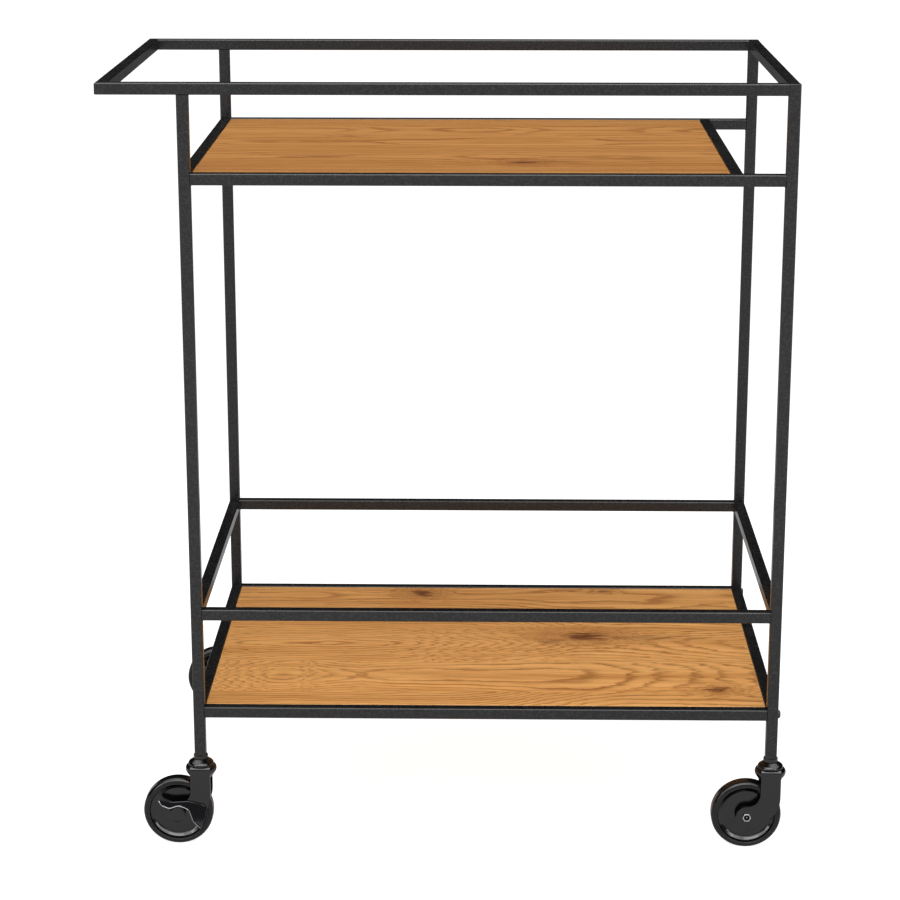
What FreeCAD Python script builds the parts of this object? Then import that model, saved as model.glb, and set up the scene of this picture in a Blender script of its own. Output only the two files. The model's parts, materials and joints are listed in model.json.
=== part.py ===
import FreeCAD, Part
import math
import os

import Sketcher

# Bar cart: a welded and bolted frame of square tube, two wood shelves and four swivel casters.
# Lengths are in millimetres. +X points away from the handle, +Y to the back and +Z up.
# The origin lies on the floor, at the middle of the whole cart's plan.

# Frame sizes
frame_sizes = {
    "overall_height": 820,
    "post_span_x": 611,
    "post_span_y": 408,
    "handle_reach": 81.4,
    "tube_side": 12,
    "tube_wall": 1.2,
    "tube_corner": 1.5,
    "post_top_edge": 0.8,
    "top_rail_rise": 91,
    "side_slot": 42,
    "guard_rail_top": 266,
    "lower_shelf_top": 156.5,
}

# Shelf panels, the corner tabs that carry them, and their screws
shelf_sizes = {
    "panel_thickness": 9,
    "panel_drop": 0.5,
    "panel_gap": 0.5,
    "panel_edge": 0.8,
    "tab_leg": 27,
    "tab_sheet": 2,
    "tab_hole_inset": 8.5,
    "screw_shank": 3.5,
    "screw_bite": 6.5,
    "screw_head": 7,
    "screw_head_height": 2.2,
    "screw_fit": 0.2,
}

# Frame bolts, the threaded inserts in the tube ends, and the plugs over the sunk bolts
bolt_sizes = {
    "bolt_diameter": 5,
    "bolt_length": 26,
    "bolt_head": 9,
    "bolt_head_height": 2.6,
    "bolt_key": 3,
    "bolt_key_depth": 1.5,
    "bolt_fit": 0.1,
    "insert_length": 20,
    "insert_fit": 0.1,
    "plug_diameter": 9.6,
    "plug_height": 2.4,
    "plug_edge": 0.6,
    "plug_fit": 0.05,
}

# Caster wheels
wheel_sizes = {
    "wheel_diameter": 75,
    "trail": 25,
    "tyre_width": 17,
    "tyre_depth": 5.4,
    "tyre_shoulder": 4.2,
    "tyre_lip": 0.7,
    "rim_width": 16,
    "rim_depth": 0.9,
    "web_width": 8,
    "hub_boss": 17,
    "bush_diameter": 9,
    "axle_diameter": 6,
    "running_fit": 0.1,
    "side_play": 0.3,
}

# Caster forks and swivel heads
fork_sizes = {
    "fork_gap": 20,
    "fork_sheet": 2.5,
    "fork_width": 21.3,
    "leg_boss": 22,
    "crown_diameter": 33.2,
    "crown_rise": 15,
    "crown_depth": 13,
    "crown_taper": 4.2,
    "race_gap": 0.6,
    "ball_diameter": 4,
    "ball_circle": 18,
    "ball_fit": 0.3,
    "cap_diameter": 27.4,
    "cap_height": 6,
    "cap_top": 15.6,
    "stem_diameter": 7,
    "stem_reach": 30,
    "stem_head": 14,
    "stem_head_height": 2.5,
    "stem_tip": 0.8,
    "socket_collar": 15.4,
    "socket_collar_height": 4.2,
    "socket_edge": 1.3,
    "socket_fit": 0.1,
}

# Axle ends, nuts and brake levers
axle_sizes = {
    "axle_head": 10.4,
    "axle_head_height": 3.7,
    "axle_tip": 1.2,
    "nut_flats": 8.2,
    "nut_height": 3.3,
    "nut_edge": 0.4,
    "nut_mouth": 6.6,
    "nut_mouth_depth": 0.9,
    "lever_gap": 0.3,
    "lever_sheet": 1.8,
    "lever_reach": 29.2,
    "lever_eye": 18,
    "lever_boss": 15,
    "lever_boss_height": 1.6,
    "lever_edge": 0.5,
}

# All cuts run past the solid by this much
cut_sizes = {"overrun": 1}

# Roundings of the fork, as shares of the room that each has
leg_sweep_share = 0.97
leg_heel_share = 0.9
cavity_corner_share = 0.7

# Profile of the crown, as shares of its depth: the rounding on top, the height of the taper
# below and the rounding between them
crown_shoulder_share = 0.32
crown_skirt_share = 0.5
crown_waist_share = 0.45

# Profile of the cap, as shares of its height: its upright side and the rounding above
cap_side_share = 0.36
cap_dome_share = 0.62

# Rounding at the foot of the hub's recess, as a share of the recess's depth
dish_round_share = 0.96

# Roundings of the bolt heads and the axle heads, as shares of their heights
bolt_round_share = 0.8
axle_round_share = 0.6

# Width of a tab's cut-off ends, as a share of its leg
tab_nose_share = 0.25

# Brake lever, seen from its outer face: each corner as shares of the lever's reach from the axle,
# with the rounding there. It starts at the tip of the long leaf and runs along the lower edge.
lever_corner_shares = [
    (-0.72, 0.58, 0.03),
    (-0.60, 0.33, 0.20),
    (-0.28, 0.20, 0.20),
    (0.06, 0.34, 0.28),
    (0.42, 0.16, 0.22),
    (0.56, -0.30, 0.40),
    (0.86, -0.60, 0.03),
    (1.04, -0.10, 0.50),
    (1.06, 0.34, 0.22),
    (0.40, 0.50, 0.60),
    (-0.20, 0.46, 0.60),
]

ball_count = 8
tolerance = 1e-4
square_corners = ((-1, -1), (1, -1), (1, 1), (-1, 1))
front_to_back = ("front", "back")
left_to_right = ("left", "right")
corners = [(end, side) for end in front_to_back for side in left_to_right]

doc = FreeCAD.newDocument("bar_cart")
sheet = doc.addObject("Spreadsheet::Sheet", "Sizes")
pieces = []


def fill_sheet():
    row = 1
    for group in (frame_sizes, shelf_sizes, bolt_sizes, wheel_sizes, fork_sizes, axle_sizes, cut_sizes):
        for name, value in group.items():
            sheet.set(f"A{row}", name)
            sheet.set(f"B{row}", str(value))
            sheet.setAlias(f"B{row}", name)
            row += 1
    doc.recompute()


# Places that follow from the sizes, as formulas
half_tube = "Sizes.tube_side / 2"
half_span_x = "Sizes.post_span_x / 2"
half_span_y = "Sizes.post_span_y / 2"
clear_x = "(Sizes.post_span_x - Sizes.tube_side)"
clear_y = "(Sizes.post_span_y - Sizes.tube_side)"
wheel_radius = "Sizes.wheel_diameter / 2"
crown_radius = "Sizes.crown_diameter / 2"

# The cart's box runs from the handle to whichever stands out furthest on the other side
right_overhang = f"max({half_tube}; {crown_radius}; {wheel_radius} - Sizes.trail)"
middle_shift = f"((Sizes.handle_reach + {half_tube} - {right_overhang}) / 2)"
post_x = {
    "left": f"({middle_shift} - {half_span_x})",
    "right": f"({middle_shift} + {half_span_x})",
}
post_y = {"front": f"(-{half_span_y})", "back": f"({half_span_y})"}
handle_x = f"({post_x['left']} - {half_tube} - Sizes.handle_reach)"
inset_bar_x = f"({post_x['right']} - Sizes.side_slot - Sizes.tube_side)"

# Heights in the caster, from the floor up
crown_top = "(Sizes.wheel_diameter + Sizes.crown_rise)"
crown_foot = f"({crown_top} - Sizes.crown_depth)"
crown_ceiling = f"({crown_top} - Sizes.fork_sheet)"
cap_foot = f"({crown_top} + Sizes.race_gap)"
cap_head = f"({cap_foot} + Sizes.cap_height)"
post_foot = f"({cap_head} + Sizes.socket_collar_height)"
crown_shoulder = f"({crown_shoulder_share} * Sizes.crown_depth)"
fork_side = "(Sizes.fork_gap / 2 + Sizes.fork_sheet)"

# Centre heights of the tubes at each level
level_z = {
    "top": f"(Sizes.overall_height - {half_tube})",
    "upper": f"(Sizes.overall_height - Sizes.top_rail_rise - {half_tube})",
    "guard": f"(Sizes.guard_rail_top - {half_tube})",
    "lower": f"(Sizes.lower_shelf_top - {half_tube})",
}
bolt_hole = "Sizes.bolt_diameter / 2 + Sizes.bolt_fit"


def value_of(formula):
    return float(sheet.evalExpression(str(formula)))


def is_zero(formula):
    return str(formula) == "0"


# Sketching

def new_body(name, x="0", y="0", z="0", turn=0, keep=True):
    body = doc.addObject("PartDesign::Body", name)
    body.Label = name
    body.Placement = FreeCAD.Placement(FreeCAD.Vector(), FreeCAD.Rotation(FreeCAD.Vector(0, 0, 1), turn))
    for axis, formula in (("x", x), ("y", y), ("z", z)):
        if not is_zero(formula):
            body.setExpression(f"Placement.Base.{axis}", formula)
    if keep:
        pieces.append(body)
    return body


def new_sketch(body, plane, offset="0"):
    sketch = body.newObject("Sketcher::SketchObject", f"{body.Name}_sketch")
    base = next(item for item in body.Origin.OriginFeatures if item.Role == plane)
    sketch.AttachmentSupport = [(base, "")]
    sketch.MapMode = "FlatFace"
    if not is_zero(offset):
        sketch.setExpression("AttachmentOffset.Base.z", offset)
    return sketch


def hold(sketch, constraint, formula):
    index = sketch.addConstraint(constraint)
    sketch.setExpression(f"Constraints[{index}]", str(formula))


def place_point(sketch, item, end, x, y):
    for formula, kind, axis in ((x, "DistanceX", -2), (y, "DistanceY", -1)):
        if is_zero(formula):
            sketch.addConstraint(Sketcher.Constraint("PointOnObject", item, end, axis))
        else:
            hold(sketch, Sketcher.Constraint(kind, item, end, value_of(formula)), formula)


def draw_circle(sketch, x, y, radius):
    centre = FreeCAD.Vector(value_of(x), value_of(y), 0)
    circle = sketch.addGeometry(Part.Circle(centre, FreeCAD.Vector(0, 0, 1), value_of(radius)))
    place_point(sketch, circle, 3, x, y)
    hold(sketch, Sketcher.Constraint("Radius", circle, value_of(radius)), radius)


def corner_arc(before, corner, after, radius):
    # Where the rounding leaves both sides of a corner, and its centre
    back = (before - corner).normalize()
    ahead = (after - corner).normalize()
    half_angle = back.getAngle(ahead) / 2
    reach = radius / math.tan(half_angle)
    centre = corner + (back + ahead).normalize() * (radius / math.sin(half_angle))
    return corner + back * reach, corner + ahead * reach, centre


def draw_outline(sketch, points):
    # A closed outline through points given as (x, y) or (x, y, rounding radius)
    count = len(points)
    spots = [FreeCAD.Vector(value_of(point[0]), value_of(point[1]), 0) for point in points]
    entries = list(spots)
    exits = list(spots)
    centres = [None] * count
    for i, point in enumerate(points):
        if len(point) > 2:
            arc = corner_arc(spots[i - 1], spots[i], spots[(i + 1) % count], value_of(point[2]))
            entries[i], exits[i], centres[i] = arc
    lines = [sketch.addGeometry(Part.LineSegment(exits[i], entries[(i + 1) % count])) for i in range(count)]
    for i, point in enumerate(points):
        before, after = lines[i - 1], lines[i]
        if centres[i] is None:
            sketch.addConstraint(Sketcher.Constraint("Coincident", before, 2, after, 1))
            place_point(sketch, after, 1, point[0], point[1])
            continue
        turn = (spots[i] - spots[i - 1]).cross(spots[(i + 1) % count] - spots[i]).z
        ends = (entries[i], exits[i]) if turn > 0 else (exits[i], entries[i])
        start, stop = [math.atan2(end.y - centres[i].y, end.x - centres[i].x) for end in ends]
        circle = Part.Circle(centres[i], FreeCAD.Vector(0, 0, 1), value_of(point[2]))
        arc = sketch.addGeometry(Part.ArcOfCircle(circle, start, stop))
        mark = sketch.addGeometry(Part.Point(spots[i]), True)
        place_point(sketch, mark, 1, point[0], point[1])
        sketch.addConstraint(Sketcher.Constraint("PointOnObject", mark, 1, before))
        sketch.addConstraint(Sketcher.Constraint("PointOnObject", mark, 1, after))
        first, last = (1, 2) if turn > 0 else (2, 1)
        sketch.addConstraint(Sketcher.Constraint("Tangent", before, 2, arc, first))
        sketch.addConstraint(Sketcher.Constraint("Tangent", arc, last, after, 1))
        hold(sketch, Sketcher.Constraint("Radius", arc, value_of(point[2])), point[2])


def draw_rectangle(sketch, half_x, half_y, *rounding):
    draw_outline(sketch, [(f"{i} * ({half_x})", f"{j} * ({half_y})", *rounding) for i, j in square_corners])


def draw_square(sketch, half_side, *rounding):
    draw_rectangle(sketch, half_side, half_side, *rounding)


def draw_hexagon(sketch, flats):
    # A regular hexagon with two corners on the sketch's own x axis
    for_x = [round(math.cos(math.pi * i / 3), 6) for i in range(6)]
    for_y = [round(math.sin(math.pi * i / 3), 6) for i in range(6)]
    across = f"{flats} / sqrt(3)"
    draw_outline(sketch, [(f"{across} * {x}", f"{across} * {y}") for x, y in zip(for_x, for_y)])


# Features

def pad(body, sketch, length, both=False, up=True):
    feature = body.newObject("PartDesign::Pad", f"{body.Name}_pad")
    feature.Profile = sketch
    feature.SideType = "Symmetric" if both else "One side"
    feature.Reversed = not up
    feature.setExpression("Length", length)
    return feature


def pocket(body, sketch, length=None, both=False, up=False):
    feature = body.newObject("PartDesign::Pocket", f"{body.Name}_pocket")
    feature.Profile = sketch
    feature.SideType = "Symmetric" if both else "One side"
    feature.Reversed = up
    if length is None:
        feature.Type = "ThroughAll"
    else:
        feature.setExpression("Length", length)
    return feature


def turned(body, sketch, cut=False):
    kind = "Groove" if cut else "Revolution"
    feature = body.newObject(f"PartDesign::{kind}", f"{body.Name}_turned")
    feature.Profile = sketch
    feature.ReferenceAxis = (sketch, ["V_Axis"])
    feature.Angle = 360
    return feature


def dress_rim(body, kind, axis, level, size):
    # Rounds or bevels the edges that lie in one plane across an axis of the body
    doc.recompute()
    place = value_of(level)
    shape = body.Tip
    rim = []
    for i, edge in enumerate(shape.Shape.Edges, 1):
        if all(abs(getattr(point.Point, axis) - place) < tolerance for point in edge.Vertexes):
            rim.append(f"Edge{i}")
    feature = body.newObject(f"PartDesign::{kind}", f"{body.Name}_{kind.lower()}")
    feature.Base = (shape, rim)
    feature.setExpression({"Fillet": "Radius", "Chamfer": "Size"}[kind], size)


# Frame tubes

def square_tube(name, plane, length, x, y, z):
    body = new_body(name, x, y, z)
    sketch = new_sketch(body, plane)
    draw_square(sketch, half_tube, "Sizes.tube_corner")
    draw_square(sketch, f"{half_tube} - Sizes.tube_wall", "Sizes.tube_corner - Sizes.tube_wall")
    pad(body, sketch, length, both=True)
    return body


def cross_hole(body, plane, x, y, radius, both=True, up=False):
    sketch = new_sketch(body, plane)
    draw_circle(sketch, x, y, radius)
    pocket(body, sketch, both=both, up=up)


def left_post(end):
    length = f"(Sizes.overall_height - Sizes.tube_side - {post_foot})"
    middle = f"{post_foot} + {length} / 2"
    square_tube(f"{end}_left_post", "XY_Plane", length, post_x["left"], post_y[end], middle)


def right_post(end):
    # Runs to the full height, with its top closed, and is drilled for the lower rail's bolt
    body = new_body(f"{end}_right_post", post_x["right"], post_y[end], post_foot)
    length = f"(Sizes.overall_height - {post_foot})"
    outside = new_sketch(body, "XY_Plane")
    draw_square(outside, half_tube, "Sizes.tube_corner")
    pad(body, outside, length)
    inside = new_sketch(body, "XY_Plane")
    draw_square(inside, f"{half_tube} - Sizes.tube_wall", "Sizes.tube_corner - Sizes.tube_wall")
    pocket(body, inside, f"{length} - Sizes.tube_wall", up=True)
    cross_hole(body, "YZ_Plane", "0", f"{level_z['lower']} - {post_foot}", bolt_hole)
    dress_rim(body, "Fillet", "z", length, "Sizes.post_top_edge")


def mitre_cut(body, corner_x, corner_y, inward, along_y):
    # Cuts the end of a tube at 45 degrees, from its outer corner in toward the frame
    run = "(Sizes.tube_side + Sizes.overrun)"
    sketch = new_sketch(body, "XY_Plane")
    near_end = (f"{corner_x} - Sizes.overrun", f"{corner_y} - ({inward}) * Sizes.overrun")
    far_end = (f"{corner_x} + {run}", f"{corner_y} + ({inward}) * {run}")
    third = (far_end[0], near_end[1]) if along_y else (near_end[0], far_end[1])
    draw_outline(sketch, [near_end, far_end, third])
    pocket(body, sketch, both=True)


def top_rail(end):
    # From the handle's mitre to the right post, over the left post, where a sunk bolt holds it
    length = "(Sizes.post_span_x + Sizes.handle_reach)"
    middle = f"{handle_x} + {length} / 2"
    body = square_tube(f"top_{end}_rail", "YZ_Plane", length, middle, post_y[end], level_z["top"])
    inward = 1 if end == "front" else -1
    mitre_cut(body, f"(-{length} / 2)", f"({-inward} * {half_tube})", inward, along_y=False)
    over_post = f"{post_x['left']} - ({middle})"
    cross_hole(body, "XY_Plane", over_post, "0", bolt_hole, both=False)
    cross_hole(body, "XY_Plane", over_post, "0", "Sizes.plug_diameter / 2", both=False, up=True)


def handle_bar():
    length = "(Sizes.post_span_y + Sizes.tube_side)"
    body = square_tube("handle_bar", "XZ_Plane", length, f"{handle_x} + {half_tube}", "0", level_z["top"])
    for inward in (1, -1):
        mitre_cut(body, f"(-{half_tube})", f"({-inward} * {length} / 2)", inward, along_y=True)


def long_rails(level):
    for end in front_to_back:
        square_tube(f"{level}_{end}_rail", "YZ_Plane", clear_x, middle_shift, post_y[end], level_z[level])


def crossbar(name, x, level):
    square_tube(name, "XZ_Plane", clear_y, x, "0", level_z[level])


def frame():
    for end in front_to_back:
        left_post(end)
        right_post(end)
        top_rail(end)
    handle_bar()
    crossbar("top_right_bar", post_x["right"], "top")
    for level in ("upper", "guard", "lower"):
        long_rails(level)
        crossbar(f"{level}_left_crossbar", post_x["left"], level)
    crossbar("upper_inset_crossbar", inset_bar_x, "upper")
    crossbar("guard_right_crossbar", post_x["right"], "guard")
    crossbar("lower_right_crossbar", post_x["right"], "lower")


# Shelves

def shelf_span(level):
    # Clear room inside the shelf's frame along X: its two ends
    left = f"({post_x['left']} + {half_tube})"
    right = f"({inset_bar_x} - {half_tube})" if level == "upper" else f"({post_x['right']} - {half_tube})"
    return left, right


def panel_foot(level):
    return f"({level_z[level]} + {half_tube} - Sizes.panel_drop - Sizes.panel_thickness)"


def shelf_panel(level):
    left, right = shelf_span(level)
    middle = f"({left} + {right}) / 2"
    half_length = f"(({right} - {left}) / 2 - Sizes.panel_gap)"
    half_depth = f"({clear_y} / 2 - Sizes.panel_gap)"
    body = new_body(f"{level}_shelf_panel", middle, "0", panel_foot(level))
    board = new_sketch(body, "XY_Plane")
    draw_rectangle(board, half_length, half_depth)
    pad(body, board, "Sizes.panel_thickness")
    pilots = new_sketch(body, "XY_Plane")
    for i, j in square_corners:
        x = f"{i} * ({half_length} + Sizes.panel_gap - Sizes.tab_hole_inset)"
        y = f"{j} * ({half_depth} + Sizes.panel_gap - Sizes.tab_hole_inset)"
        draw_circle(pilots, x, y, "Sizes.screw_shank / 2 + Sizes.screw_fit / 2")
    pocket(body, pilots, "Sizes.screw_bite + Sizes.screw_fit", up=True)
    dress_rim(body, "Chamfer", "z", "Sizes.panel_thickness", "Sizes.panel_edge")


def shelf_corners(level):
    # Each corner's place, and the signs of the way into the shelf from there
    left, right = shelf_span(level)
    inner_y = f"({clear_y} / 2)"
    return [
        (left, f"(-{inner_y})", 1, 1),
        (right, f"(-{inner_y})", -1, 1),
        (right, inner_y, -1, -1),
        (left, inner_y, 1, -1),
    ]


def corner_tab(name, x, y, z, turn):
    body = new_body(name, x, y, z, turn, keep=False)
    sketch = new_sketch(body, "XY_Plane")
    nose = f"{tab_nose_share} * Sizes.tab_leg"
    draw_outline(sketch, [
        ("0", "0"),
        ("Sizes.tab_leg", "0"),
        ("Sizes.tab_leg", nose),
        (nose, "Sizes.tab_leg"),
        ("0", "Sizes.tab_leg"),
    ])
    pad(body, sketch, "Sizes.tab_sheet", up=False)
    cross_hole(body, "XY_Plane", "Sizes.tab_hole_inset", "Sizes.tab_hole_inset",
               "Sizes.screw_shank / 2 + Sizes.screw_fit", both=False)
    return body


def panel_screw(name, x, y, z):
    # Pan head under the tab, shank up into the panel
    body = new_body(name, x, y, z, keep=False)
    sketch = new_sketch(body, "XZ_Plane")
    draw_outline(sketch, [
        ("0", "(-Sizes.screw_head_height)"),
        ("Sizes.screw_head / 2", "(-Sizes.screw_head_height)", "Sizes.screw_head_height / 2"),
        ("Sizes.screw_head / 2", "0"),
        ("Sizes.screw_shank / 2", "0"),
        ("Sizes.screw_shank / 2", "Sizes.tab_sheet + Sizes.screw_bite - Sizes.screw_shank / 2"),
        ("0", "Sizes.tab_sheet + Sizes.screw_bite"),
    ])
    turned(body, sketch)
    return body


def group(name, members):
    compound = doc.addObject("Part::Compound", name)
    compound.Label = name
    compound.Links = members
    pieces.append(compound)


def shelf_fixings():
    screws = []
    inset = "Sizes.tab_hole_inset"
    for level in ("upper", "lower"):
        tabs = []
        for i, (x, y, inward_x, inward_y) in enumerate(shelf_corners(level)):
            tabs.append(corner_tab(f"{level}_tab_{i}", x, y, panel_foot(level), 90 * i))
            screw_x = f"{x} + {inward_x} * {inset}"
            screw_y = f"{y} + {inward_y} * {inset}"
            screw_z = f"{panel_foot(level)} - Sizes.tab_sheet"
            screws.append(panel_screw(f"{level}_screw_{i}", screw_x, screw_y, screw_z))
        group(f"{level}_shelf_tabs", tabs)
    group("panel_screws", screws)


# Frame bolts and inserts

def button_bolt(name, x, y, z, sideways):
    # Local +Z points out of the head, whose underside lies at the local origin
    body = new_body(name, x, y, z, keep=False)
    if sideways:
        body.Placement.Rotation = FreeCAD.Rotation(FreeCAD.Vector(0, 1, 0), 90)
    sketch = new_sketch(body, "XZ_Plane")
    draw_outline(sketch, [
        ("0", "(-Sizes.bolt_length)"),
        ("Sizes.bolt_diameter / 2", "(-Sizes.bolt_length)"),
        ("Sizes.bolt_diameter / 2", "0"),
        ("Sizes.bolt_head / 2", "0"),
        ("Sizes.bolt_head / 2", "Sizes.bolt_head_height", f"{bolt_round_share} * Sizes.bolt_head_height"),
        ("0", "Sizes.bolt_head_height"),
    ])
    turned(body, sketch)
    key = new_sketch(body, "XY_Plane", "Sizes.bolt_head_height")
    draw_hexagon(key, "Sizes.bolt_key")
    pocket(body, key, "Sizes.bolt_key_depth")
    return body


def threaded_insert(name, x, y, z, sideways):
    # Fills the end of a tube; local +Z points out of that end
    body = new_body(name, x, y, z, keep=False)
    if sideways:
        body.Placement.Rotation = FreeCAD.Rotation(FreeCAD.Vector(0, 1, 0), 90)
    sketch = new_sketch(body, "XY_Plane")
    draw_square(sketch, f"{half_tube} - Sizes.tube_wall - Sizes.insert_fit")
    pad(body, sketch, "Sizes.insert_length", up=False)
    cross_hole(body, "XY_Plane", "0", "0", "Sizes.bolt_diameter / 2 + Sizes.running_fit", both=False)
    return body


def hole_plug(name, x, y, z):
    # Round-edged plug, flush with the top of the rail
    body = new_body(name, x, y, z, keep=False)
    sketch = new_sketch(body, "XZ_Plane")
    radius = "Sizes.plug_diameter / 2 - Sizes.plug_fit"
    draw_outline(sketch, [
        ("0", "(-Sizes.plug_height)"),
        (radius, "(-Sizes.plug_height)"),
        (radius, "0", "Sizes.plug_edge"),
        ("0", "0"),
    ])
    turned(body, sketch)
    return body


def frame_fixings():
    bolts, inserts, plugs = [], [], []
    for end in front_to_back:
        rail_end = f"{post_x['right']} - {half_tube}"
        post_face = f"{post_x['right']} + {half_tube}"
        bolts.append(button_bolt(f"{end}_side_bolt", post_face, post_y[end], level_z["lower"], True))
        inserts.append(threaded_insert(f"{end}_rail_insert", rail_end, post_y[end], level_z["lower"], True))
        post_head = "Sizes.overall_height - Sizes.tube_side"
        rail_floor = f"{post_head} + Sizes.tube_wall"
        bolts.append(button_bolt(f"{end}_top_bolt", post_x["left"], post_y[end], rail_floor, False))
        inserts.append(threaded_insert(f"{end}_post_insert", post_x["left"], post_y[end], post_head, False))
        plugs.append(hole_plug(f"{end}_plug", post_x["left"], post_y[end], "Sizes.overall_height"))
    group("frame_bolts", bolts)
    group("threaded_inserts", inserts)
    group("rail_plugs", plugs)


# Casters: the fixed half

def caster_cap(end, side):
    # Domed upper race, with the balls' groove in its underside
    body = new_body(f"{end}_{side}_caster_cap", post_x[side], post_y[end], "0")
    bore = "Sizes.stem_diameter / 2 + Sizes.running_fit"
    sketch = new_sketch(body, "XZ_Plane")
    draw_outline(sketch, [
        (bore, cap_foot),
        ("Sizes.cap_diameter / 2", cap_foot),
        ("Sizes.cap_diameter / 2", f"{cap_foot} + {cap_side_share} * Sizes.cap_height",
         f"{cap_dome_share} * Sizes.cap_height"),
        ("Sizes.cap_top / 2", cap_head),
        (bore, cap_head),
    ])
    turned(body, sketch)
    groove = new_sketch(body, "XZ_Plane")
    draw_circle(groove, "Sizes.ball_circle / 2", f"{crown_top} + Sizes.race_gap / 2",
                "Sizes.ball_diameter / 2 + Sizes.ball_fit")
    turned(body, groove, cut=True)


def caster_stem(end, side):
    # Riveted head under the fork's crown, shank up through the cap into the post
    body = new_body(f"{end}_{side}_stem", post_x[side], post_y[end], "0", keep=False)
    head_top = f"({crown_ceiling} - Sizes.side_play)"
    tip = f"({post_foot} + Sizes.stem_reach)"
    sketch = new_sketch(body, "XZ_Plane")
    draw_outline(sketch, [
        ("0", f"{head_top} - Sizes.stem_head_height"),
        ("Sizes.stem_head / 2", f"{head_top} - Sizes.stem_head_height", "Sizes.stem_head_height / 2"),
        ("Sizes.stem_head / 2", head_top),
        ("Sizes.stem_diameter / 2", head_top),
        ("Sizes.stem_diameter / 2", f"{tip} - Sizes.stem_tip"),
        ("Sizes.stem_diameter / 2 - Sizes.stem_tip", tip),
        ("0", tip),
    ])
    turned(body, sketch)
    return body


def stem_socket(end, side):
    # Plastic socket in the end of the post, with a round collar between the post and the cap
    body = new_body(f"{end}_{side}_socket", post_x[side], post_y[end], cap_head, keep=False)
    collar = new_sketch(body, "XY_Plane")
    draw_circle(collar, "0", "0", "Sizes.socket_collar / 2")
    pad(body, collar, "Sizes.socket_collar_height")
    dress_rim(body, "Fillet", "z", "0", "Sizes.socket_edge")
    core = new_sketch(body, "XY_Plane", "Sizes.socket_collar_height")
    draw_square(core, f"{half_tube} - Sizes.tube_wall - Sizes.socket_fit")
    pad(body, core, "Sizes.stem_reach")
    bore = new_sketch(body, "XY_Plane")
    draw_circle(bore, "0", "0", "Sizes.stem_diameter / 2 + Sizes.running_fit")
    pocket(body, bore, up=True)
    return body


def ball_ring(end, side):
    balls = []
    for i in range(ball_count):
        ball = doc.addObject("Part::Sphere", f"{end}_{side}_ball_{i}")
        ball.setExpression("Radius", "Sizes.ball_diameter / 2")
        cosine = round(math.cos(2 * math.pi * (i + 1 / 2) / ball_count), 6)
        sine = round(math.sin(2 * math.pi * (i + 1 / 2) / ball_count), 6)
        ball.setExpression("Placement.Base.x", f"{post_x[side]} + {cosine} * Sizes.ball_circle / 2")
        ball.setExpression("Placement.Base.y", f"{post_y[end]} + {sine} * Sizes.ball_circle / 2")
        ball.setExpression("Placement.Base.z", f"{crown_top} + Sizes.race_gap / 2")
        balls.append(ball)
    return balls


# Casters: the swivelling fork

def caster_fork(end, side):
    # Pressed crown with two flat legs, which sweep back from the swivel axis to the axle
    body = new_body(f"{end}_{side}_fork", post_x[side], post_y[end], "0")
    crown = new_sketch(body, "XZ_Plane")
    draw_outline(crown, [
        ("0", crown_foot),
        (f"{crown_radius} - Sizes.crown_taper", crown_foot),
        (crown_radius, f"{crown_foot} + {crown_skirt_share} * Sizes.crown_depth",
         f"{crown_waist_share} * Sizes.crown_depth"),
        (crown_radius, crown_top, crown_shoulder),
        ("0", crown_top),
    ])
    turned(body, crown)
    leg = new_sketch(body, "XZ_Plane")
    half_width = "Sizes.fork_width / 2"
    leg_top = f"{crown_top} - {crown_shoulder}"
    boss_top = f"{wheel_radius} + Sizes.leg_boss / 2"
    boss_foot = f"{wheel_radius} - Sizes.leg_boss / 2"
    draw_outline(leg, [
        (half_width, leg_top),
        (f"(-{half_width})", leg_top),
        (f"(-{half_width})", boss_top, f"{leg_sweep_share} * (Sizes.trail - {half_width})"),
        ("(-Sizes.trail)", boss_top),
        ("(-Sizes.trail)", boss_foot),
        (half_width, boss_foot, f"{leg_heel_share} * (Sizes.trail + {half_width})"),
    ])
    pad(body, leg, f"2 * {fork_side}", both=True)
    boss = new_sketch(body, "XZ_Plane")
    draw_circle(boss, "(-Sizes.trail)", wheel_radius, "Sizes.leg_boss / 2")
    pad(body, boss, f"2 * {fork_side}", both=True)
    fork_cuts(body)


def fork_cuts(body):
    # Flat front and back, each with a bend into the crown's top, room for the wheel, the hollow
    # under the crown, bores and the race
    far = f"({crown_radius} + Sizes.overrun)"
    above = f"({crown_top} + Sizes.overrun)"
    for sign in (1, -1):
        flat = new_sketch(body, "YZ_Plane")
        draw_outline(flat, [
            (f"{sign} * {fork_side}", "0"),
            (f"{sign} * {fork_side}", crown_top, crown_shoulder),
            ("0", crown_top),
            ("0", above),
            (f"{sign} * {far}", above),
            (f"{sign} * {far}", "0"),
        ])
        pocket(body, flat, both=True)
    room = new_sketch(body, "YZ_Plane")
    half_gap = "(Sizes.fork_gap / 2)"
    draw_outline(room, [
        (f"(-{half_gap})", "0"),
        (half_gap, "0"),
        (half_gap, crown_foot),
        (f"(-{half_gap})", crown_foot),
    ])
    pocket(body, room, both=True)
    hollow = new_sketch(body, "XY_Plane")
    hollow_x = f"({crown_radius} - Sizes.crown_taper - Sizes.fork_sheet)"
    draw_rectangle(hollow, hollow_x, half_gap, f"{cavity_corner_share} * {hollow_x}")
    pocket(body, hollow, crown_ceiling, up=True)
    cross_hole(body, "XY_Plane", "0", "0", "Sizes.stem_diameter / 2 + Sizes.running_fit", both=False, up=True)
    axle_bore = "Sizes.axle_diameter / 2 + Sizes.running_fit"
    cross_hole(body, "XZ_Plane", "(-Sizes.trail)", wheel_radius, axle_bore)
    race = new_sketch(body, "XZ_Plane")
    draw_circle(race, "Sizes.ball_circle / 2", f"{crown_top} + Sizes.race_gap / 2",
                "Sizes.ball_diameter / 2 + Sizes.ball_fit")
    turned(body, race, cut=True)


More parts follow.
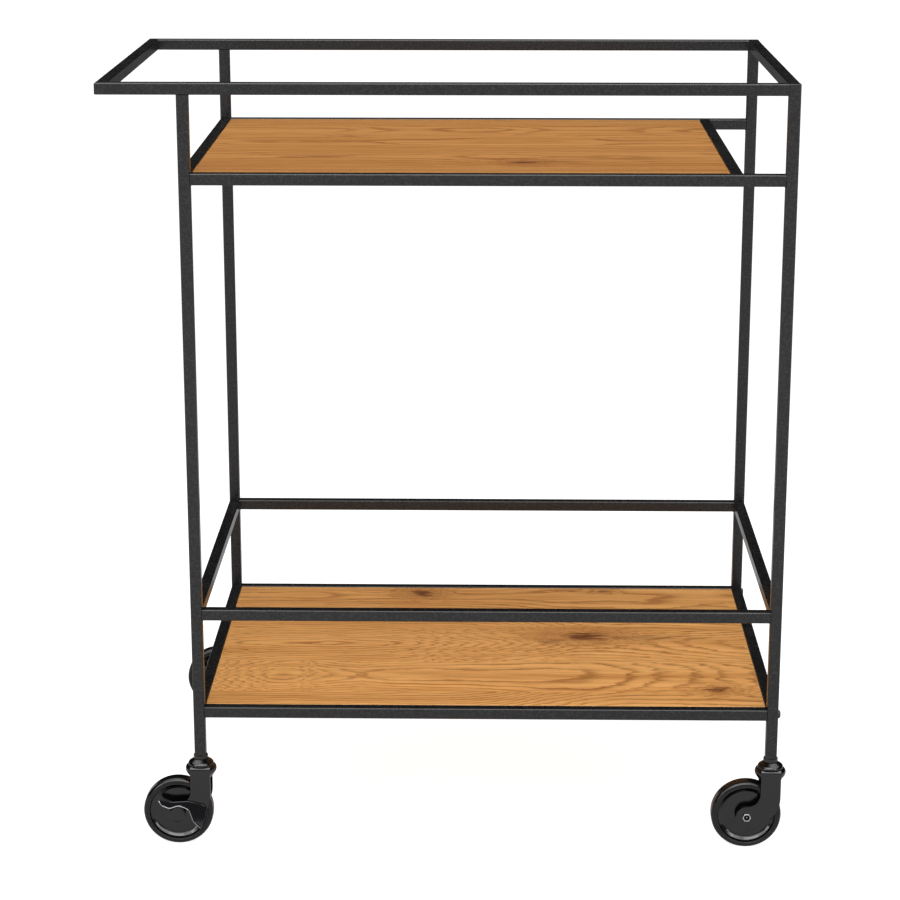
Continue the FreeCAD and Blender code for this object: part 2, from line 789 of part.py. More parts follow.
def at_axle(name, end, side, keep=True):
    return new_body(name, f"{post_x[side]} - Sizes.trail", post_y[end], wheel_radius, keep=keep)


def caster_axle(end, side):
    # Button head at the back, a plain shank, and a tip that ends in the nut or in the lever's boss
    body = at_axle(f"{end}_{side}_axle", end, side)
    shank = "Sizes.axle_diameter / 2"
    if side == "left":
        tip = f"({fork_side} + Sizes.lever_gap + Sizes.lever_sheet + Sizes.lever_boss_height / 2)"
    else:
        tip = f"({fork_side} + Sizes.nut_height - Sizes.nut_mouth_depth)"
    head_face = f"{fork_side} + Sizes.axle_head_height"
    sketch = new_sketch(body, "XY_Plane")
    draw_outline(sketch, [
        ("0", f"(-{tip})"),
        (f"{shank} - Sizes.axle_tip", f"(-{tip})"),
        (shank, f"(-{tip}) + Sizes.axle_tip"),
        (shank, fork_side),
        ("Sizes.axle_head / 2", fork_side),
        ("Sizes.axle_head / 2", head_face, f"{axle_round_share} * Sizes.axle_head_height"),
        ("0", head_face),
    ])
    turned(body, sketch)


def axle_nut(end, side):
    # Hexagon against the outside of the front leg, with a wider mouth that the axle's tip ends in
    body = at_axle(f"{end}_{side}_axle_nut", end, side)
    face = f"({fork_side} + Sizes.nut_height)"
    base = new_sketch(body, "XZ_Plane", fork_side)
    draw_hexagon(base, "Sizes.nut_flats")
    pad(body, base, "Sizes.nut_height")
    dress_rim(body, "Fillet", "y", f"-{face}", "Sizes.nut_edge")
    cross_hole(body, "XZ_Plane", "0", "0", "Sizes.axle_diameter / 2 + Sizes.running_fit")
    mouth = new_sketch(body, "XZ_Plane", f"{face} - Sizes.nut_mouth_depth")
    draw_circle(mouth, "0", "0", "Sizes.nut_mouth / 2")
    pocket(body, mouth, up=True)


def wheel_bush(end, side):
    body = at_axle(f"{end}_{side}_axle_bush", end, side)
    sketch = new_sketch(body, "XZ_Plane")
    draw_circle(sketch, "0", "0", "Sizes.bush_diameter / 2")
    draw_circle(sketch, "0", "0", "Sizes.axle_diameter / 2 + Sizes.running_fit")
    pad(body, sketch, "Sizes.fork_gap", both=True)


# Casters: the wheel

def wheel_hub(end, side):
    # Moulded disc with a round-cornered recess in each face and a boss that runs on the bush
    body = at_axle(f"{end}_{side}_hub", end, side)
    bore = "Sizes.bush_diameter / 2 + Sizes.running_fit"
    boss_face = "(Sizes.fork_gap / 2 - Sizes.side_play)"
    rim_outside = f"({wheel_radius} - Sizes.tyre_depth)"
    rim_inside = f"({rim_outside} - Sizes.rim_depth)"
    dish_round = f"{dish_round_share} * (Sizes.rim_width - Sizes.web_width) / 2"
    side_points = [
        ("Sizes.hub_boss / 2", boss_face),
        ("Sizes.hub_boss / 2", "Sizes.web_width / 2"),
        (rim_inside, "Sizes.web_width / 2", dish_round),
        (rim_inside, "Sizes.rim_width / 2"),
        (rim_outside, "Sizes.rim_width / 2"),
    ]
    mirrored = [(x, f"(-({y}))", *rounding) for x, y, *rounding in reversed(side_points)]
    sketch = new_sketch(body, "XY_Plane")
    draw_outline(sketch, [(bore, boss_face)] + side_points + mirrored + [(bore, f"(-{boss_face})")])
    turned(body, sketch)


def wheel_tyre(end, side):
    # Tread with round shoulders, and a small lip where it meets the hub's rim
    body = at_axle(f"{end}_{side}_tyre", end, side)
    inside = f"({wheel_radius} - Sizes.tyre_depth)"
    half_width = "Sizes.tyre_width / 2"
    sketch = new_sketch(body, "XY_Plane")
    draw_outline(sketch, [
        (inside, f"(-{half_width})", "Sizes.tyre_lip"),
        (wheel_radius, f"(-{half_width})", "Sizes.tyre_shoulder"),
        (wheel_radius, half_width, "Sizes.tyre_shoulder"),
        (inside, half_width, "Sizes.tyre_lip"),
    ])
    turned(body, sketch)


# Casters: the brake lever, on the handle's side

def brake_lever(end, side):
    # Two-leaf lever that turns on the axle and carries its clamping thread in the boss
    body = at_axle(f"{end}_{side}_brake_lever", end, side)
    inner_face = f"({fork_side} + Sizes.lever_gap)"
    outer_face = f"({inner_face} + Sizes.lever_sheet)"
    leaf = new_sketch(body, "XZ_Plane", inner_face)
    points = [[f"({share} * Sizes.lever_reach)" for share in corner] for corner in lever_corner_shares]
    draw_outline(leaf, points)
    pad(body, leaf, "Sizes.lever_sheet")
    dress_rim(body, "Chamfer", "y", f"-{outer_face}", "Sizes.lever_edge")
    eye = new_sketch(body, "XZ_Plane", inner_face)
    draw_circle(eye, "0", "0", "Sizes.lever_eye / 2")
    pad(body, eye, "Sizes.lever_sheet")
    boss = new_sketch(body, "XZ_Plane", outer_face)
    draw_circle(boss, "0", "0", "Sizes.lever_boss / 2")
    pad(body, boss, "Sizes.lever_boss_height")
    bore = new_sketch(body, "XZ_Plane", inner_face)
    draw_circle(bore, "0", "0", "Sizes.axle_diameter / 2 + Sizes.running_fit")
    depth = "Sizes.lever_sheet + Sizes.lever_boss_height / 2 + Sizes.running_fit"
    pocket(body, bore, depth, up=True)


def casters():
    stems, sockets, balls = [], [], []
    for end, side in corners:
        caster_cap(end, side)
        stems.append(caster_stem(end, side))
        sockets.append(stem_socket(end, side))
        balls.extend(ball_ring(end, side))
        caster_fork(end, side)
        caster_axle(end, side)
        wheel_bush(end, side)
        wheel_hub(end, side)
        wheel_tyre(end, side)
        if side == "left":
            brake_lever(end, side)
        else:
            axle_nut(end, side)
    group("caster_stems", stems)
    group("stem_sockets", sockets)
    group("bearing_balls", balls)


def check_document():
    # Every object is sound, every cut removes material and every piece is a valid shape
    for item in doc.Objects:
        if "Invalid" in item.State or "Error" in item.State:
            raise RuntimeError(f"{item.Name} failed: {item.State}")
        if item.TypeId in ("PartDesign::Pocket", "PartDesign::Groove"):
            before = item.BaseFeature.Shape.Volume
            if item.Shape.Volume > before - tolerance:
                raise RuntimeError(f"{item.Name} cuts nothing")
    for piece in pieces:
        if piece.Shape.isNull() or not piece.Shape.isValid():
            raise RuntimeError(f"{piece.Label} has no valid shape")


def write_parts():
    os.makedirs("parts", exist_ok=True)
    for piece in pieces:
        piece.Shape.exportStep(f"parts/{piece.Label}.step")
        print(f"{piece.Label}: solids {len(piece.Shape.Solids)}, volume {piece.Shape.Volume:.1f}")


fill_sheet()
frame()
for level in ("upper", "lower"):
    shelf_panel(level)
shelf_fixings()
frame_fixings()
casters()
doc.recompute()
check_document()
write_parts()
print(f"{len(pieces)} pieces")
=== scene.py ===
import json
import math

import bmesh
import bpy
from mathutils import Matrix, Vector


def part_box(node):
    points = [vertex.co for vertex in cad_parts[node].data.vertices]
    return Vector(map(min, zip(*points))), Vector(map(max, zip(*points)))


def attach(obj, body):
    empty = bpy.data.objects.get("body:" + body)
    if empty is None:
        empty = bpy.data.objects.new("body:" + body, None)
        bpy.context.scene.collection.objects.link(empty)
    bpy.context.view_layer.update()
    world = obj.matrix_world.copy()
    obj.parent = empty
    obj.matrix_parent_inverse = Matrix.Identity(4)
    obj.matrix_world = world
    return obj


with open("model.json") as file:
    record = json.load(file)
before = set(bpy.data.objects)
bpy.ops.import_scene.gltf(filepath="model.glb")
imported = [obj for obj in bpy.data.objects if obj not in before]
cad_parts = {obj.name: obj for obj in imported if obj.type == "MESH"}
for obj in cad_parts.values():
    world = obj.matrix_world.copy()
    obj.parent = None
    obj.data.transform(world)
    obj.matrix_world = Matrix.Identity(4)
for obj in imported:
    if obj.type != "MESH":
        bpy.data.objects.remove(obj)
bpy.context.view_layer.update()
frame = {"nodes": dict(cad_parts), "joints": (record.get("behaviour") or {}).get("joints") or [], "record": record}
nodes = frame["nodes"]
print("frame loaded:", len(nodes), "nodes")


# Small helpers for node trees

def addNode(tree, kind, **settings):
    node = tree.nodes.new(kind)
    for name, value in settings.items():
        setattr(node, name, value)
    return node


def feed(tree, socket, value):
    if isinstance(value, bpy.types.NodeSocket):
        tree.links.new(value, socket)
    else:
        socket.default_value = value


def feedAll(tree, sockets, values):
    for socket, value in zip(sockets, values):
        feed(tree, socket, value)


def number(tree, operation, *values, clamp=False):
    node = addNode(tree, "ShaderNodeMath", operation=operation, use_clamp=clamp)
    feedAll(tree, node.inputs, values)
    return node.outputs[0]


def vector(tree, operation, *values, result=0):
    node = addNode(tree, "ShaderNodeVectorMath", operation=operation)
    feedAll(tree, node.inputs, values)
    return node.outputs[result]


def length(tree, value):
    return vector(tree, "LENGTH", value, result=1)


def scaled(tree, place, *sizes):
    # One size counts for all three axes
    return vector(tree, "MULTIPLY", place, sizes if len(sizes) == 3 else sizes * 3)


def dim(tree, colour, level):
    node = addNode(tree, "ShaderNodeVectorMath", operation="SCALE")
    feed(tree, node.inputs[0], colour)
    feed(tree, node.inputs["Scale"], level)
    return node.outputs[0]


def split(tree, value):
    node = addNode(tree, "ShaderNodeSeparateXYZ")
    feed(tree, node.inputs[0], value)
    return node.outputs


def combine(tree, *values):
    node = addNode(tree, "ShaderNodeCombineXYZ")
    feedAll(tree, node.inputs, values)
    return node.outputs[0]


def choose(tree, factor, first, second):
    node = addNode(tree, "ShaderNodeMix", data_type="FLOAT")
    for name, value in (("Factor", factor), ("A", first), ("B", second)):
        feed(tree, node.inputs[name], value)
    return node.outputs[0]


def mixColour(tree, factor, first, second, kind="MIX"):
    # The node's two colours are its sockets 6 and 7, and its colour result is output 2
    node = addNode(tree, "ShaderNodeMix", data_type="RGBA", blend_type=kind)
    feed(tree, node.inputs["Factor"], factor)
    for socket, value in zip(node.inputs[6:8], (first, second)):
        feed(tree, socket, value if isinstance(value, bpy.types.NodeSocket) else (*value, 1))
    return node.outputs[2]


def remap(tree, value, low, high, newLow, newHigh, kind="SMOOTHSTEP"):
    node = addNode(tree, "ShaderNodeMapRange", interpolation_type=kind)
    feedAll(tree, node.inputs, (value, low, high, newLow, newHigh))
    return node.outputs["Result"]


def cloud(tree, place, detail, roughness=0.5):
    node = addNode(tree, "ShaderNodeTexNoise")
    feed(tree, node.inputs["Vector"], place)
    node.inputs["Scale"].default_value = 1
    node.inputs["Detail"].default_value = detail
    node.inputs["Roughness"].default_value = roughness
    return node.outputs["Fac"]


def chance(tree, value):
    node = addNode(tree, "ShaderNodeTexWhiteNoise", noise_dimensions="1D")
    feed(tree, node.inputs["W"], value)
    return node.outputs["Value"]


def offCentre(tree, value, amount):
    # Turns noise from 0 to 1 into a swing about zero, as wide as the amount
    return number(tree, "MULTIPLY_ADD", value, amount, -amount / 2)


def bump(tree, height, distance=1.0, normal=None):
    node = addNode(tree, "ShaderNodeBump")
    node.inputs["Strength"].default_value = 1.0
    node.inputs["Distance"].default_value = distance
    feed(tree, node.inputs["Height"], height)
    if normal is not None:
        feed(tree, node.inputs["Normal"], normal)
    return node.outputs[0]


def makeGroup(name, build, vectors=(), numbers=(), results=()):
    group = bpy.data.node_groups.new(name, "ShaderNodeTree")
    for labels, side, kind in ((vectors, "INPUT", "NodeSocketVector"), (numbers, "INPUT", "NodeSocketFloat"),
                               (results, "OUTPUT", "NodeSocketFloat")):
        for label in labels:
            group.interface.new_socket(label, in_out=side, socket_type=kind)
    made = build(group, addNode(group, "NodeGroupInput").outputs)
    feedAll(group, addNode(group, "NodeGroupOutput").inputs, made)
    return group


def useGroup(tree, group, **values):
    node = addNode(tree, "ShaderNodeGroup", node_tree=group)
    for name, value in values.items():
        feed(tree, node.inputs[name], value)
    return node.outputs


def newMaterial(name):
    material = bpy.data.materials.new(name)
    material.use_nodes = True
    material.node_tree.nodes.clear()
    return material


def finish(name, build, **plain):
    # A Principled material: build() returns the sockets that vary, plain holds the even values
    material = newMaterial(name)
    tree = material.node_tree
    shader = addNode(tree, "ShaderNodeBsdfPrincipled")
    place = addNode(tree, "ShaderNodeTexCoord").outputs["Object"]
    for label, value in {**plain, **build(tree, place)}.items():
        feed(tree, shader.inputs[label.replace("_", " ")], value)
    out = addNode(tree, "ShaderNodeOutputMaterial")
    tree.links.new(shader.outputs[0], out.inputs["Surface"])
    return material


# Small helpers for meshes and objects

def meshFrom(work, name):
    mesh = bpy.data.meshes.new(name)
    work.to_mesh(mesh)
    work.free()
    return mesh


def addObject(name, data):
    made = bpy.data.objects.new(name, data)
    bpy.context.scene.collection.objects.link(made)
    return made


# Camera, floor, lights and world

cameraSetup = {"place": (0.038, -2.695, 1.1245), "tilt": 74.650, "turn": 0.928, "lens": 99.70, "sensor": 36}


def placeCamera():
    data = bpy.data.cameras.new("camera")
    data.lens = cameraSetup["lens"]
    data.sensor_width = cameraSetup["sensor"]
    camera = addObject("camera", data)
    camera.location = cameraSetup["place"]
    camera.rotation_euler = (math.radians(cameraSetup["tilt"]), 0, math.radians(cameraSetup["turn"]))
    bpy.context.scene.camera = camera
    bpy.context.scene.view_settings.view_transform = "Standard"


placeCamera()
print("camera placed")

# Lit paper near the cart, which turns into plain white further out; reflections see it dimmer at the back
floorSetup = {
    "size": 40, "colour": (0.62, 0.62, 0.62, 1), "lift": 0.86, "glossLift": 0.18,
    "nearEdge": 0.75, "farEdge": 2.2, "farLevel": 1.12,
    "backFrom": 0.4, "backTo": 1.4, "farGloss": 0.95, "backGloss": 0.14,
}


def floorPaper():
    material = newMaterial("floorPaper")
    tree = material.node_tree
    diffuse = addNode(tree, "ShaderNodeBsdfDiffuse")
    diffuse.inputs["Color"].default_value = floorSetup["colour"]
    glow = addNode(tree, "ShaderNodeEmission")
    white = addNode(tree, "ShaderNodeEmission")
    rays = addNode(tree, "ShaderNodeLightPath").outputs
    seen = number(tree, "MAXIMUM", rays["Is Camera Ray"], rays["Is Glossy Ray"])
    lift = number(tree, "MULTIPLY", rays["Is Glossy Ray"], floorSetup["glossLift"])
    lift = number(tree, "MULTIPLY_ADD", rays["Is Camera Ray"], floorSetup["lift"], lift)
    feed(tree, glow.inputs["Strength"], lift)
    near = addNode(tree, "ShaderNodeAddShader")
    feedAll(tree, near.inputs, (diffuse.outputs[0], glow.outputs[0]))
    place = addNode(tree, "ShaderNodeTexCoord").outputs["Object"]
    away = remap(tree, length(tree, place), floorSetup["nearEdge"], floorSetup["farEdge"], 0, 1)
    behind = remap(tree, split(tree, place)["Y"], floorSetup["backFrom"], floorSetup["backTo"],
                   floorSetup["farGloss"], floorSetup["backGloss"])
    level = choose(tree, rays["Is Glossy Ray"], floorSetup["farLevel"], behind)
    feed(tree, white.inputs["Strength"], level)
    blend = addNode(tree, "ShaderNodeMixShader")
    feedAll(tree, blend.inputs, (number(tree, "MULTIPLY", away, seen), near.outputs[0], white.outputs[0]))
    out = addNode(tree, "ShaderNodeOutputMaterial")
    tree.links.new(blend.outputs[0], out.inputs["Surface"])
    return material


def makeFloor():
    work = bmesh.new()
    bmesh.ops.create_grid(work, x_segments=1, y_segments=1, size=floorSetup["size"])
    floor = addObject("floor", meshFrom(work, "floor"))
    floor.data.materials.append(floorPaper())


makeFloor()

lamps = {
    "frontSoftbox": {"place": (-0.2, -2.5, 2.5), "aim": (0, 0, 0.4), "size": (2.2, 1.0), "watts": 30},
    "leftStrip": {"place": (-2.3, -2.3, 1.1), "aim": (0, 0, 0.3), "size": (0.35, 1.3), "watts": 12},
    "rightStrip": {"place": (2.4, -2.3, 1.2), "aim": (0, 0, 0.3), "size": (0.35, 1.3), "watts": 10},
    "topSoftbox": {"place": (0.0, -0.9, 2.6), "aim": (0, 0, 0.5), "size": (1.8, 0.7), "watts": 12},
}


def makeLamps():
    for name, setup in lamps.items():
        data = bpy.data.lights.new(name, "AREA")
        data.shape = "RECTANGLE"
        data.size, data.size_y = setup["size"]
        data.energy = setup["watts"]
        lamp = addObject(name, data)
        lamp.location = setup["place"]
        aim = Vector(setup["aim"]) - lamp.location
        lamp.rotation_euler = aim.to_track_quat("-Z", "Y").to_euler()


makeLamps()

# Even fill; reflections see a bright ceiling, and a wall in front of the cart that is brighter at its sides
worldSetup = {
    "fill": 0.56,
    "rampFrom": 0.58, "rampTo": 0.92, "lowGloss": 0.008, "highGloss": 2.56,
    "frontFrom": 0.28, "frontTo": 0.52, "frontGloss": 2.72, "frontHaze": 0.12,
    "sideFrom": 0.12, "sideTo": 0.50, "middleLevel": 0.62, "sideLevel": 1.35,
    "facingFrom": -0.60, "facingTo": -0.15,
}


def makeWorld():
    world = bpy.data.worlds.new("studio")
    bpy.context.scene.world = world
    world.use_nodes = True
    tree = world.node_tree
    tree.nodes.clear()
    rays = addNode(tree, "ShaderNodeLightPath").outputs
    direction = split(tree, addNode(tree, "ShaderNodeTexCoord").outputs["Generated"])
    ceiling = remap(tree, direction["Z"], worldSetup["rampFrom"], worldSetup["rampTo"],
                    worldSetup["lowGloss"], worldSetup["highGloss"])
    wall = remap(tree, direction["Z"], worldSetup["frontFrom"], worldSetup["frontTo"],
                 0, worldSetup["frontGloss"])
    beside = remap(tree, number(tree, "ABSOLUTE", direction["X"]), worldSetup["sideFrom"],
                   worldSetup["sideTo"], worldSetup["middleLevel"], worldSetup["sideLevel"])
    wall = number(tree, "MULTIPLY_ADD", wall, beside, worldSetup["frontHaze"])
    facing = remap(tree, direction["Y"], worldSetup["facingFrom"], worldSetup["facingTo"], 1, 0)
    gloss = number(tree, "MAXIMUM", ceiling, number(tree, "MULTIPLY", wall, facing))
    level = choose(tree, rays["Is Glossy Ray"], worldSetup["fill"], gloss)
    background = addNode(tree, "ShaderNodeBackground")
    background.inputs["Color"].default_value = (1, 1, 1, 1)
    feed(tree, background.inputs["Strength"], number(tree, "MAXIMUM", level, rays["Is Camera Ray"]))
    out = addNode(tree, "ShaderNodeOutputWorld")
    tree.links.new(background.outputs[0], out.inputs["Surface"])


makeWorld()
print("stage lit")


# Shared surface effects

mottleSetup = {"slowScale": 9, "closeScale": 70, "slowShare": 0.65, "closeShare": 0.35}


def mottleParts(tree, given):
    # Slow unevenness that a coat or a moulding has, about 1 on average
    slow = cloud(tree, scaled(tree, given["Vector"], mottleSetup["slowScale"]), detail=3)
    close = cloud(tree, scaled(tree, given["Vector"], mottleSetup["closeScale"]), detail=2)
    both = number(tree, "ADD", number(tree, "MULTIPLY", slow, mottleSetup["slowShare"]),
                  number(tree, "MULTIPLY", close, mottleSetup["closeShare"]))
    swing = number(tree, "SUBTRACT", both, 0.5)
    return [number(tree, "MULTIPLY_ADD", swing, given["Amount"], 1.0)]


mottle = makeGroup("mottle", mottleParts, vectors=["Vector"], numbers=["Amount"], results=["Level"])

scuffSetup = {"stretches": ((900, 900, 40), (60, 700, 900)), "from": 0.62, "to": 0.78}


def scuffParts(tree, given):
    # Thin wipe marks in two directions, 0 where there are none
    marks = []
    for stretch in scuffSetup["stretches"]:
        streaks = cloud(tree, scaled(tree, given["Vector"], *stretch), detail=3, roughness=0.65)
        marks.append(remap(tree, streaks, scuffSetup["from"], scuffSetup["to"], 0, 1))
    return [number(tree, "MAXIMUM", *marks)]


scuffs = makeGroup("scuffs", scuffParts, vectors=["Vector"], results=["Marks"])

wheelSpots = sorted({(joint["pos_m"][0], joint["pos_m"][2]) for joint in frame["joints"]
                     if joint["name"].endswith("wheel_spin")})


def axleParts(tree, given):
    # Distance from the nearest wheel's axle line, in metres
    distances = []
    for x, z in wheelSpots:
        gap = scaled(tree, vector(tree, "SUBTRACT", given["Vector"], (x, 0, z)), 1, 0, 1)
        distances.append(length(tree, gap))
    nearest = distances[0]
    for distance in distances[1:]:
        nearest = number(tree, "MINIMUM", distance, nearest)
    return [nearest]


fromAxle = makeGroup("fromAxle", axleParts, vectors=["Vector"], results=["Radius"])


# Oak, as growth rings around a pith that runs below each strip of the board

oakSetup = {
    "light": (0.91, 0.462, 0.153),
    "middle": (0.62, 0.258, 0.064),
    "dark": (0.335, 0.108, 0.018),
    "knot": (0.15, 0.046, 0.010),
    # Colour of the band along the outline: painted highlight of the chamfered edge, and the paler edge banding
    "band": (0.86, 0.50, 0.21),
    "bandFrom": 0.00054, "bandTo": 0.00126, "bandAmount": 0.65,
    "ringGap": 0.0058,
    "seedStep": 7.3,
    "swayScale": 3.2,
    "knotPush": 0.022,
    # Bundles of fibres slide along the grain by this much
    "slide": {"scale": (8, 290, 8), "detail": 3, "roughness": 0.6, "amount": 0.034},
    # Waves in the rings: scale along the board, scale across it, amount
    "rough": ((6, 30, 0.0085), (26, 85, 0.0036), (95, 300, 0.0012)),
    "patch": {"scale": (7, 30, 1), "detail": 2, "roughness": 0.5, "from": 0.35, "to": 0.6, "least": 0.70},
    "streak": {"scale": (2.4, 75, 1), "detail": 5, "roughness": 0.68, "amount": 3.0},
    "fibre": {"scale": (14, 480, 700), "detail": 3, "roughness": 0.7, "amount": 2.3},
    "pore": {"scale": (60, 1500, 1500), "detail": 2, "roughness": 0.5, "from": 0.56, "to": 0.70,
             "offLine": 0.4, "onLine": 0.6},
    "toneBase": 0.26, "toneSpread": 0.12,
    "lineShade": 0.92, "haloShade": 0.42, "poreShade": 0.20,
    "gloss": 0.40, "shadeGloss": 0.14,
    "relief": 0.00004, "poreRelief": -1.0, "lineRelief": -0.35,
}
# Where in a year's growth its dark line has faded and where the next one rises, and how faint a line may be
ringSetup = {"fadeTo": 0.66, "fadePower": 2.7, "riseFrom": 0.93, "riseTo": 0.99, "faintest": 0.65}
knotSetup = {"wobbleScale": (45, 330, 60), "wobble": 2.6, "coreFrom": 0.25, "coreTo": 1.05,
             "haloFrom": 0.4, "haloTo": 3.4}
# Strips of a board run from its front edge back. Each has where it ends, its pith, the pith's depth, and how
# much its rings sway. Levels are rings at places along the board. Knots are x, y, length, width and amount.
boards = {
    "lower": {
        "piece": "lower_shelf_panel", "tone": (1.08, 1.09, 1.04), "seed": 3.0, "stretch": 1.0,
        "dive": ((-0.270, 0.68), (-0.150, 0.68), (-0.060, 0.85), (0.020, 1.0), (0.110, 2.4),
                 (0.200, 3.8), (0.340, 3.9)),
        "strips": (
            {"to": -0.158, "pith": -0.300, "depth": 0.060, "sway": 5.0},
            {"to": -0.064, "pith": -0.106, "depth": 0.040, "sway": 0.7, "levels": (
                (-0.270, 6.9), (-0.246, 4.6), (-0.225, 3.0), (-0.209, 2.0), (-0.190, 1.2),
                (-0.175, 1.5), (-0.164, 2.3), (-0.156, 3.2), (-0.135, 4.2), (-0.110, 5.0),
                (-0.101, 5.2), (-0.0944, 5.0), (-0.040, 4.45), (0.050, 4.3), (0.120, 4.65),
                (0.151, 5.0), (0.194, 6.0), (0.2234, 7.0), (0.2623, 8.0), (0.2937, 9.0),
                (0.320, 9.7), (0.340, 10.2))},
            {"to": 0.048, "pith": -0.004, "depth": 0.012, "sway": 0.6, "levels": (
                (-0.270, 4.2), (-0.200, 2.2), (-0.165, 1.95), (-0.140, 1.70), (-0.118, 2.05),
                (-0.069, 3.0), (0.000, 6.5), (0.060, 10.0), (0.115, 13.6), (0.150, 15.0),
                (0.200, 14.6), (0.260, 13.2), (0.340, 11.6))},
            {"to": 0.120, "pith": 0.190, "depth": 0.050, "sway": 6.0},
            {"to": None, "pith": 0.165, "depth": 0.030, "sway": 8.0},
        ),
        "knots": ((0.1505, 0.0235, 0.034, 0.017, 1.0), (0.215, 0.020, 0.080, 0.010, 0.40),
                  (0.1115, 0.005, 0.022, 0.012, 0.45), (0.2886, -0.147, 0.017, 0.010, 0.85),
                  (-0.0414, 0.177, 0.018, 0.014, 1.0), (0.176, 0.186, 0.012, 0.007, 0.7)),
    },
    "upper": {
        "piece": "upper_shelf_panel", "tone": (0.745, 0.69, 0.605), "seed": 11.0, "stretch": 0.45,
        "dive": ((-0.270, 1.0), (-0.100, 1.0), (0.200, 1.4), (0.290, 1.4)),
        "strips": (
            {"to": -0.150, "pith": -0.290, "depth": 0.050, "sway": 5.0},
            {"to": -0.035, "pith": -0.090, "depth": 0.052, "sway": 7.0},
            {"to": 0.070, "pith": 0.020, "depth": 0.060, "sway": 6.0},
            {"to": 0.160, "pith": 0.112, "depth": 0.048, "sway": 8.0},
            {"to": None, "pith": 0.235, "depth": 0.052, "sway": 5.0},
        ),
        "knots": ((0.073, -0.127, 0.017, 0.010, 1.0), (0.105, -0.122, 0.050, 0.009, 0.35),
                  (-0.120, 0.060, 0.014, 0.007, 0.4)),
    },
}


def ringParts(tree, given):
    # Dark line at the end of each year's growth, from the distance to the pith in rings
    year = number(tree, "FLOOR", given["Rings"])
    part = number(tree, "FRACT", given["Rings"])
    fade = number(tree, "POWER", remap(tree, part, 0.0, ringSetup["fadeTo"], 1, 0), ringSetup["fadePower"])
    rise = remap(tree, part, ringSetup["riseFrom"], ringSetup["riseTo"], 0, 1)
    line = number(tree, "MAXIMUM", fade, rise)
    strength = remap(tree, chance(tree, year), 0, 1, ringSetup["faintest"], 1.0, "LINEAR")
    return [number(tree, "MULTIPLY", line, strength)]


rings = makeGroup("rings", ringParts, numbers=["Rings"], results=["Line"])


def knotParts(tree, given):
    # Distance from a knot, in its own stretched units, as a dark core and a push on the rings
    gap = vector(tree, "DIVIDE", vector(tree, "SUBTRACT", given["Vector"], given["Place"]), given["Size"])
    noise = cloud(tree, scaled(tree, given["Vector"], *knotSetup["wobbleScale"]), detail=3)
    away = number(tree, "ADD", length(tree, gap), offCentre(tree, noise, knotSetup["wobble"]))
    core = remap(tree, away, knotSetup["coreFrom"], knotSetup["coreTo"], 1, 0)
    halo = remap(tree, away, knotSetup["haloFrom"], knotSetup["haloTo"], 1, 0)
    return [number(tree, "MULTIPLY", mark, given["Amount"]) for mark in (core, halo)]


knot = makeGroup("knot", knotParts, vectors=["Vector", "Place", "Size"], numbers=["Amount"],
                 results=["Core", "Halo"])


def grain(tree, place, setup):
    return cloud(tree, scaled(tree, place, *setup["scale"]), setup["detail"], setup["roughness"])


def levelCurve(tree, along, levels):
    # A smooth curve through pairs of a place along the board and the level there
    node = addNode(tree, "ShaderNodeFloatCurve")
    curve = node.mapping.curves[0]
    start, end = levels[0][0], levels[-1][0]
    highest = max(level for x, level in levels)
    spots = [((x - start) / (end - start), level / highest) for x, level in levels]
    curve.points[0].location = spots[0]
    curve.points[1].location = spots[-1]
    for spot in spots[1:-1]:
        curve.points.new(*spot)
    node.mapping.update()
    feed(tree, node.inputs["Value"], remap(tree, along, start, end, 0, 1, "LINEAR"))
    return number(tree, "MULTIPLY", node.outputs[0], highest)


def seededStrips(tree, board, place):
    # The board's strips, each with a seed of its own and the level that shifts its rings, in metres
    slide = offCentre(tree, grain(tree, place, oakSetup["slide"]), oakSetup["slide"]["amount"])
    slid = number(tree, "ADD", split(tree, place)["X"], slide)
    strips = []
    for order, strip in enumerate(board["strips"]):
        seed = board["seed"] + oakSetup["seedStep"] * order
        spot = combine(tree, number(tree, "MULTIPLY", slid, oakSetup["swayScale"]), 0, seed)
        level = offCentre(tree, cloud(tree, spot, detail=2), strip["sway"])
        if "levels" in strip:
            level = number(tree, "ADD", level, levelCurve(tree, slid, strip["levels"]))
        strips.append({**strip, "seed": seed, "level": number(tree, "MULTIPLY", level, oakSetup["ringGap"])})
    return strips


def byStrip(tree, across, strips, key):
    # What the strip at this place across the board has under the key
    total = strips[0][key]
    for before, strip in zip(strips, strips[1:]):
        total = choose(tree, number(tree, "GREATER_THAN", across, before["to"]), total, strip[key])
    return total


def pithDistance(tree, board, strips, axes, top):
    # From the strip's pith, which dives towards one end, less its depth and shifted by the strip's level
    along, across, up = axes["X"], axes["Y"], axes["Z"]
    dive = levelCurve(tree, along, board["dive"])
    depth = number(tree, "MULTIPLY", byStrip(tree, across, strips, "depth"), dive)
    below = number(tree, "ADD", depth, number(tree, "SUBTRACT", up, top))
    beside = number(tree, "SUBTRACT", across, byStrip(tree, across, strips, "pith"))
    distance = length(tree, combine(tree, 0, beside, below))
    distance = number(tree, "SUBTRACT", distance, depth)
    return number(tree, "ADD", distance, byStrip(tree, across, strips, "level"))


def boardKnots(tree, board, axes):
    place = combine(tree, axes["X"], axes["Y"], 0)
    core, halo = 0.0, 0.0
    for x, y, along, across, amount in board["knots"]:
        marks = useGroup(tree, knot, Vector=place, Place=(x, y, 0), Size=(along, across, 1), Amount=amount)
        core = number(tree, "MAXIMUM", marks["Core"], core)
        halo = number(tree, "MAXIMUM", marks["Halo"], halo)
    return core, halo


